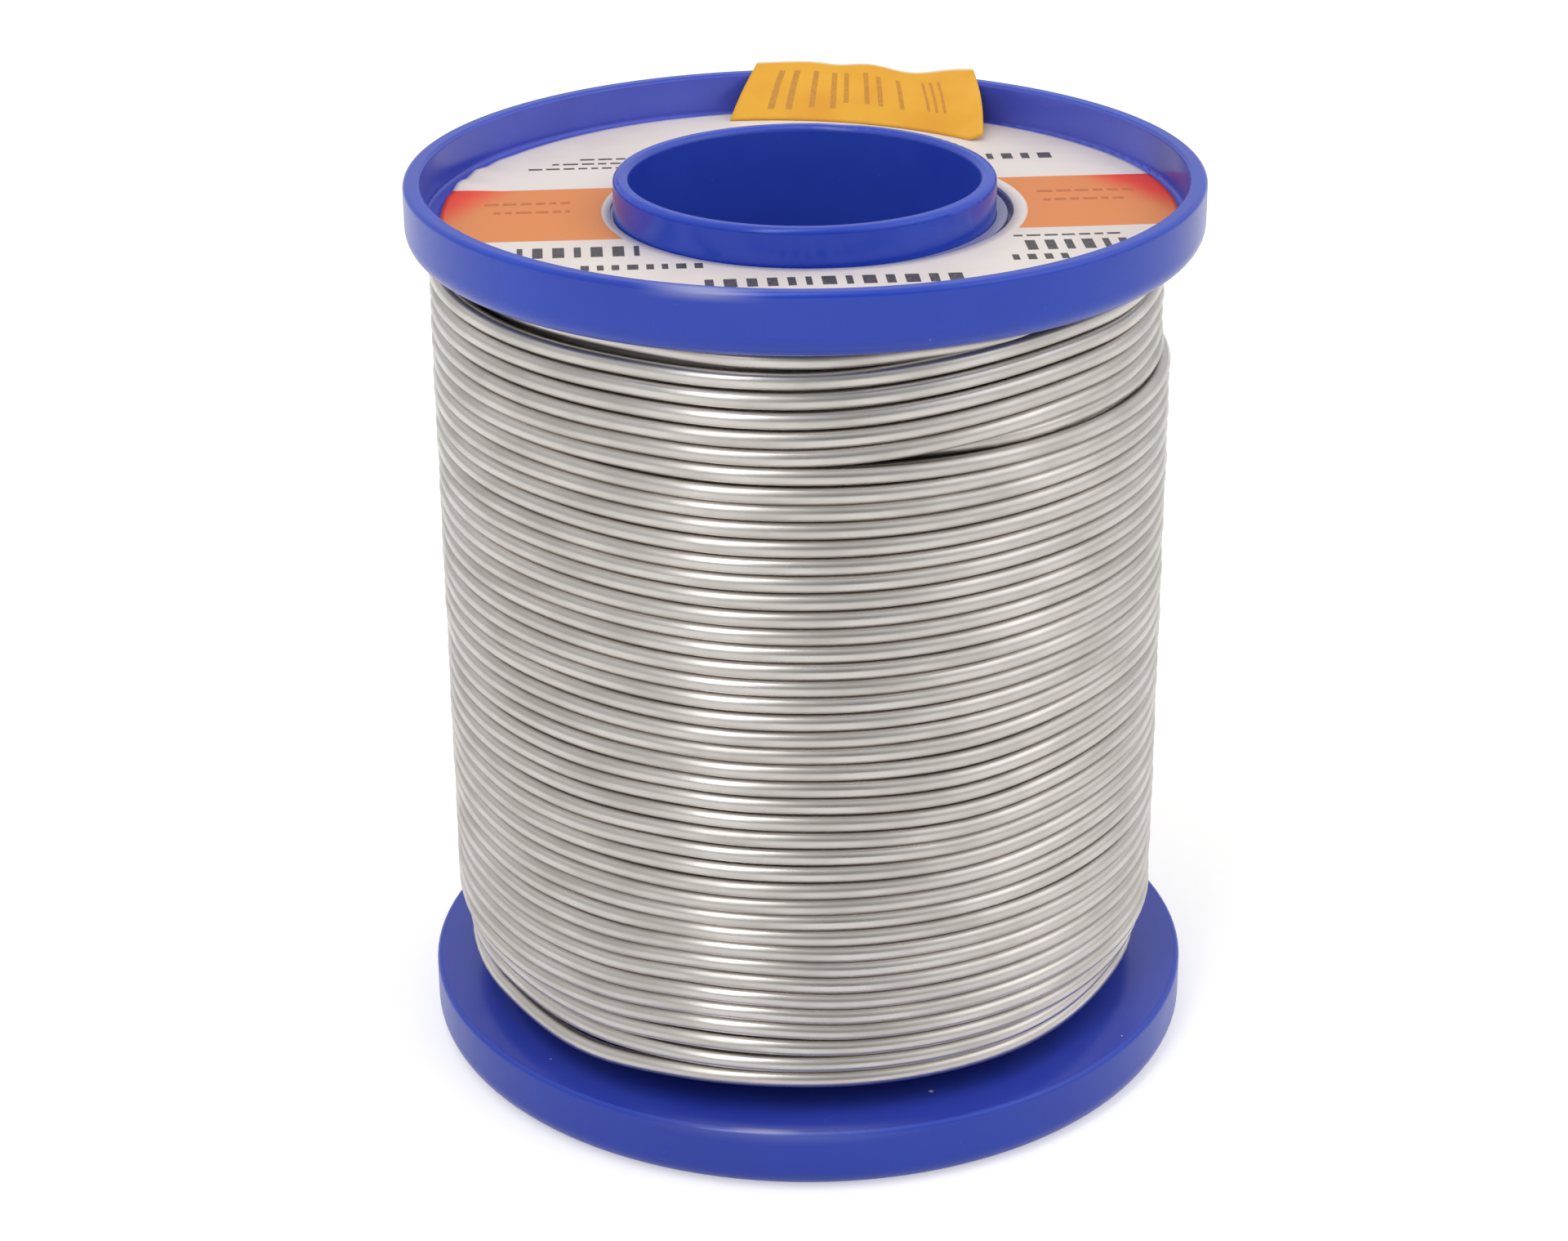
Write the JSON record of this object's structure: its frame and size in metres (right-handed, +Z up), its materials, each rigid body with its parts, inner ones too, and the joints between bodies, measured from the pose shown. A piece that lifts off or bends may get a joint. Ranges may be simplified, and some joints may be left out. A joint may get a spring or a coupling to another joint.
{
  "type": "solder wire spool",
  "caption": "Round moulded plastic reel with two rimmed flanges and a through bore, wound full of soft solder wire, with a round paper label and a small price sticker.",
  "frame": {"origin": "on the spool's axis, in the plane that the lower rim stands on", "axes": "+Z up along the spool's axis, from the lower flange to the upper one; +Y towards the side of the rim that the price sticker leans on, so -Y is the front"},
  "size_m": [0.0696, 0.0696, 0.0809],
  "materials": {
    "blue_plastic": "glossy moulded blue",
    "solder": "satin drawn tin-lead solder wire",
    "label_paper": "semi-gloss printed paper, off-white with an orange band",
    "sticker_paper": "matt orange-yellow paper"
  },
  "bodies": {
    "root": {"barrel": "blue_plastic", "upper_flange": "blue_plastic", "lower_flange": "blue_plastic", "wire_inner_layers": "solder", "wire_outer_layer": "solder", "label": "label_paper", "price_sticker": "sticker_paper"}
  },
  "joints": []
}
